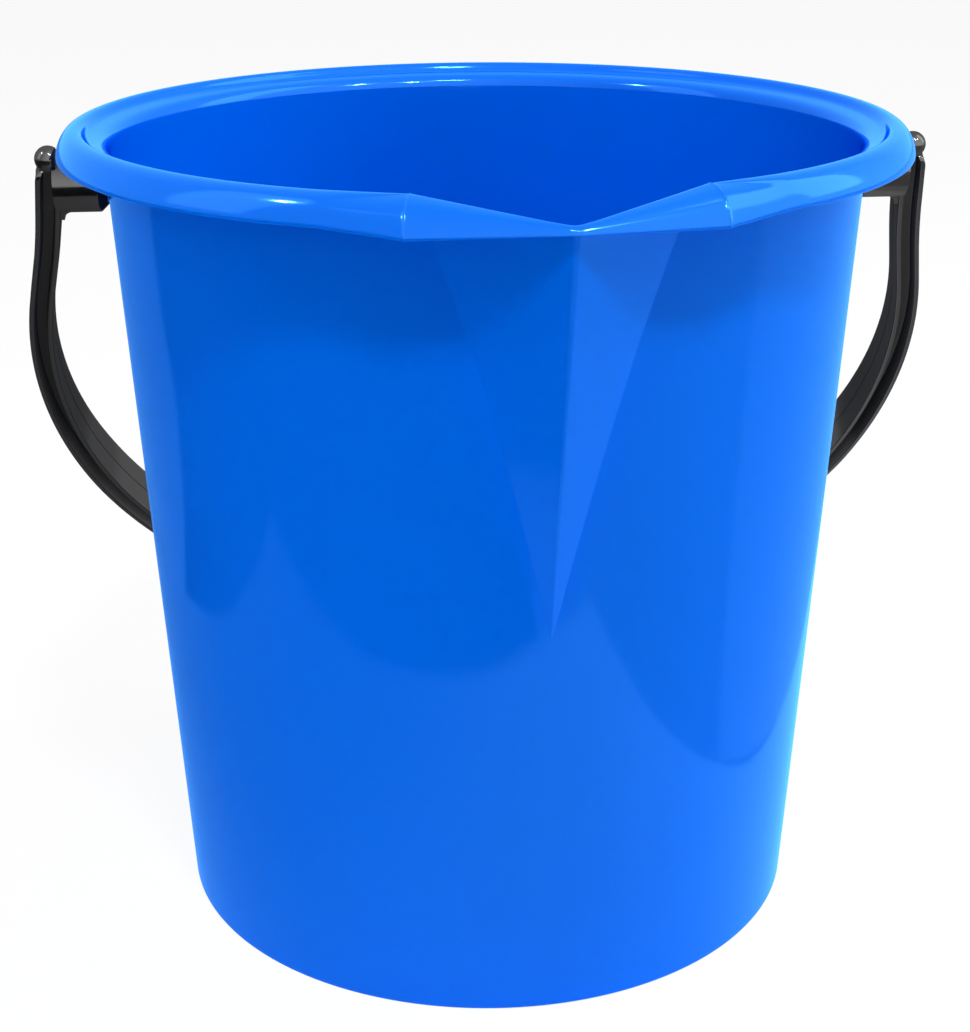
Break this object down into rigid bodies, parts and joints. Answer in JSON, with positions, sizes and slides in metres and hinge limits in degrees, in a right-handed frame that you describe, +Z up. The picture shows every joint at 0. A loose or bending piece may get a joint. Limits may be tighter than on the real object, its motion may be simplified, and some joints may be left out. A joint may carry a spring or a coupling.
{
  "type": "plastic bucket",
  "caption": "Tapered round bucket with a rolled rim and a folded pouring spout, and a clip-in bail handle that swings right over the mouth, for carrying and pouring liquids.",
  "frame": {"origin": "on the floor, under the middle of the bucket", "axes": "+Z up, X along the bail's pivot axis, -Y the front, where the spout is"},
  "size_m": [0.314, 0.281, 0.268],
  "materials": {
    "bucket_polypropylene": "glossy blue moulded polypropylene, coloured through",
    "bail_polypropylene": "satin black moulded polypropylene, coloured through"
  },
  "bodies": {
    "bucket": {"bucket_body": "bucket_polypropylene"},
    "bail": {"bail_handle": "bail_polypropylene"}
  },
  "joints": [
    {"name": "handle_swing", "type": "hinge", "parent": "bucket", "child": "bail", "pos_m": [0, 0, 0.2485], "axis": [1, 0, 0], "range_deg": [0, 297.3]}
  ]
}
